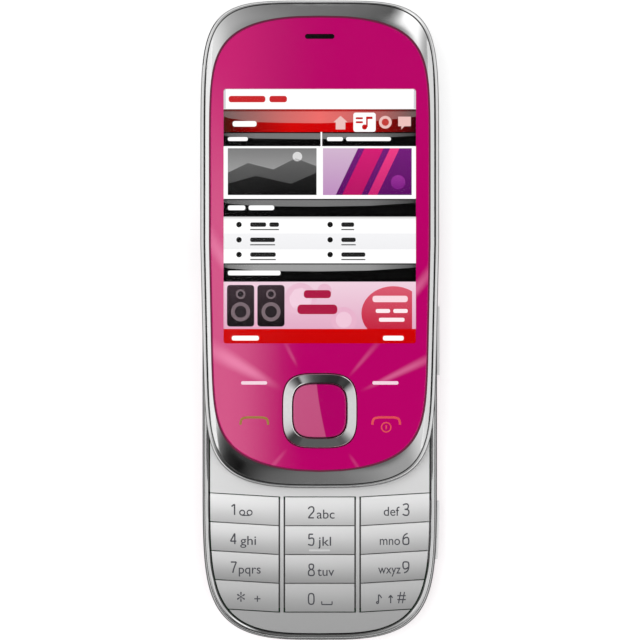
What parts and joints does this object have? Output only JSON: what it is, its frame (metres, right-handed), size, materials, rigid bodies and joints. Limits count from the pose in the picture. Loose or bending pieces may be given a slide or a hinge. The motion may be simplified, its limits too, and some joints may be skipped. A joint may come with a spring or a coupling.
{
  "type": "slider phone",
  "caption": "Slider mobile phone, lying open on its back: the pink display half slides up from a silver keypad.",
  "frame": {"origin": "on the ground under the middle of the open phone, which lies on its back", "axes": "+Z out of the screen, +Y from the keypad end to the earpiece end, +X to the right of the keys"},
  "size_m": [0.0484, 0.1294, 0.0148],
  "materials": {
    "pink_face": "gloss, deep pink",
    "pink_key": "gloss, deep pink",
    "pink_cover": "soft gloss, pink",
    "silver_band": "satin silver",
    "silver_bezel": "soft chrome",
    "bright_chrome": "bright",
    "silver_deck": "painted silver",
    "key_paint": "painted silver",
    "side_key_silver": "satin silver",
    "black_plastic": "gloss black",
    "dark_plastic": "matt dark grey",
    "key_rubber": "translucent grey silicone",
    "circuit_board": "green solder mask",
    "sheet_steel": "satin sheet steel",
    "spring_steel": "bright wire",
    "can_metal": "plated can",
    "battery_case": "wrapped in grey film",
    "flex_film": "amber film",
    "screen_glass": "lit panel",
    "clear_window": "clear, polished"
  },
  "bodies": {
    "base": {"antenna_cover": "pink_cover", "camera_ring": "bright_chrome", "camera_lens": "clear_window", "camera_module": "dark_plastic", "loudspeaker": "dark_plastic", "battery": "battery_case", "battery_connector": "black_plastic", "sim_holder": "sheet_steel", "memory_card_slot": "sheet_steel", "rear_frame": "dark_plastic", "base_frame": "silver_band", "main_board": "circuit_board", "board_shield": "sheet_steel", "vibration_motor": "can_metal", "headset_jack": "black_plastic", "charging_socket": "black_plastic", "usb_socket": "sheet_steel", "microphone": "can_metal", "keypad_fascia": "silver_deck", "keypad_mat": "key_rubber", "dome_sheet": "sheet_steel", "volume_switch": "dark_plastic", "camera_switch": "dark_plastic", "slide_fixed_plate": "sheet_steel", "screw_upper_left": "spring_steel", "screw_upper_right": "spring_steel", "screw_lower_left": "spring_steel", "screw_lower_right": "spring_steel", "slide_spring": "spring_steel", "display_flex": "flex_film"},
    "battery_cover": {"battery_cover": "pink_cover"},
    "volume_key": {"volume_key": "side_key_silver"},
    "camera_key": {"camera_key": "side_key_silver"},
    "motor_weight": {"motor_weight": "can_metal"},
    "display": {"slide_moving_plate": "sheet_steel", "display_frame": "silver_band", "bezel": "silver_bezel", "front_face": "pink_face", "display_window": "clear_window", "lcd_module": "screen_glass", "ui_board": "circuit_board", "touch_film": "flex_film", "ui_keymat": "key_rubber", "earpiece": "can_metal", "earpiece_grille": "can_metal"},
    "nav_rocker": {"nav_pad": "dark_plastic"},
    "nav_ring": {"nav_ring": "bright_chrome"},
    "select_key": {"select_key": "pink_key"},
    "key_1": {"key_1": "key_paint"},
    "key_2": {"key_2": "key_paint"},
    "key_3": {"key_3": "key_paint"},
    "key_4": {"key_4": "key_paint"},
    "key_5": {"key_5": "key_paint"},
    "key_6": {"key_6": "key_paint"},
    "key_7": {"key_7": "key_paint"},
    "key_8": {"key_8": "key_paint"},
    "key_9": {"key_9": "key_paint"},
    "key_star": {"key_star": "key_paint"},
    "key_0": {"key_0": "key_paint"},
    "key_hash": {"key_hash": "key_paint"}
  },
  "joints": [
    {"name": "slide", "type": "slide", "parent": "base", "child": "display", "axis": [0, 1, 0], "range_m": [-0.0314, 0], "deforming": ["slide_spring", "display_flex"]},
    {"name": "battery_cover_slide", "type": "slide", "parent": "base", "child": "battery_cover", "axis": [0, -1, 0], "range_m": [0, 0.004]},
    {"name": "nav_up_down", "type": "hinge", "parent": "display", "child": "nav_rocker", "pos_m": [0, -0.0176, 0.01255], "axis": [1, 0, 0], "range_deg": [-1.5, 1.5], "stiffness_Nm_per_rad": 0.37},
    {"name": "nav_left_right", "type": "hinge", "parent": "nav_rocker", "child": "nav_ring", "pos_m": [0, -0.0176, 0.01255], "axis": [0, 1, 0], "range_deg": [-1.5, 1.5], "stiffness_Nm_per_rad": 0.37},
    {"name": "select_press", "type": "slide", "parent": "display", "child": "select_key", "axis": [0, 0, -1], "range_m": [0, 0.0002], "stiffness_N_per_m": 600, "springref_m": -0.0005},
    {"name": "volume_rock", "type": "hinge", "parent": "base", "child": "volume_key", "pos_m": [0.022, -0.0037, 0.005], "axis": [0, 0, 1], "range_deg": [-2, 2], "stiffness_Nm_per_rad": 0.12},
    {"name": "camera_press", "type": "slide", "parent": "base", "child": "camera_key", "axis": [-1, 0, 0], "range_m": [0, 0.00025], "stiffness_N_per_m": 600, "springref_m": -0.0005},
    {"name": "motor_spin", "type": "hinge", "parent": "base", "child": "motor_weight", "pos_m": [0.0067, 0.013, 0.0036], "axis": [1, 0, 0], "continuous": true},
    {"name": "key_1_press", "type": "slide", "parent": "base", "child": "key_1", "axis": [0, 0, -1], "range_m": [0, 0.00025], "stiffness_N_per_m": 600, "springref_m": -0.0005},
    {"name": "key_2_press", "type": "slide", "parent": "base", "child": "key_2", "axis": [0, 0, -1], "range_m": [0, 0.00025], "stiffness_N_per_m": 600, "springref_m": -0.0005},
    {"name": "key_3_press", "type": "slide", "parent": "base", "child": "key_3", "axis": [0, 0, -1], "range_m": [0, 0.00025], "stiffness_N_per_m": 600, "springref_m": -0.0005},
    {"name": "key_4_press", "type": "slide", "parent": "base", "child": "key_4", "axis": [0, 0, -1], "range_m": [0, 0.00025], "stiffness_N_per_m": 600, "springref_m": -0.0005},
    {"name": "key_5_press", "type": "slide", "parent": "base", "child": "key_5", "axis": [0, 0, -1], "range_m": [0, 0.00025], "stiffness_N_per_m": 600, "springref_m": -0.0005},
    {"name": "key_6_press", "type": "slide", "parent": "base", "child": "key_6", "axis": [0, 0, -1], "range_m": [0, 0.00025], "stiffness_N_per_m": 600, "springref_m": -0.0005},
    {"name": "key_7_press", "type": "slide", "parent": "base", "child": "key_7", "axis": [0, 0, -1], "range_m": [0, 0.00025], "stiffness_N_per_m": 600, "springref_m": -0.0005},
    {"name": "key_8_press", "type": "slide", "parent": "base", "child": "key_8", "axis": [0, 0, -1], "range_m": [0, 0.00025], "stiffness_N_per_m": 600, "springref_m": -0.0005},
    {"name": "key_9_press", "type": "slide", "parent": "base", "child": "key_9", "axis": [0, 0, -1], "range_m": [0, 0.00025], "stiffness_N_per_m": 600, "springref_m": -0.0005},
    {"name": "key_star_press", "type": "slide", "parent": "base", "child": "key_star", "axis": [0, 0, -1], "range_m": [0, 0.00025], "stiffness_N_per_m": 600, "springref_m": -0.0005},
    {"name": "key_0_press", "type": "slide", "parent": "base", "child": "key_0", "axis": [0, 0, -1], "range_m": [0, 0.00025], "stiffness_N_per_m": 600, "springref_m": -0.0005},
    {"name": "key_hash_press", "type": "slide", "parent": "base", "child": "key_hash", "axis": [0, 0, -1], "range_m": [0, 0.00025], "stiffness_N_per_m": 600, "springref_m": -0.0005}
  ]
}
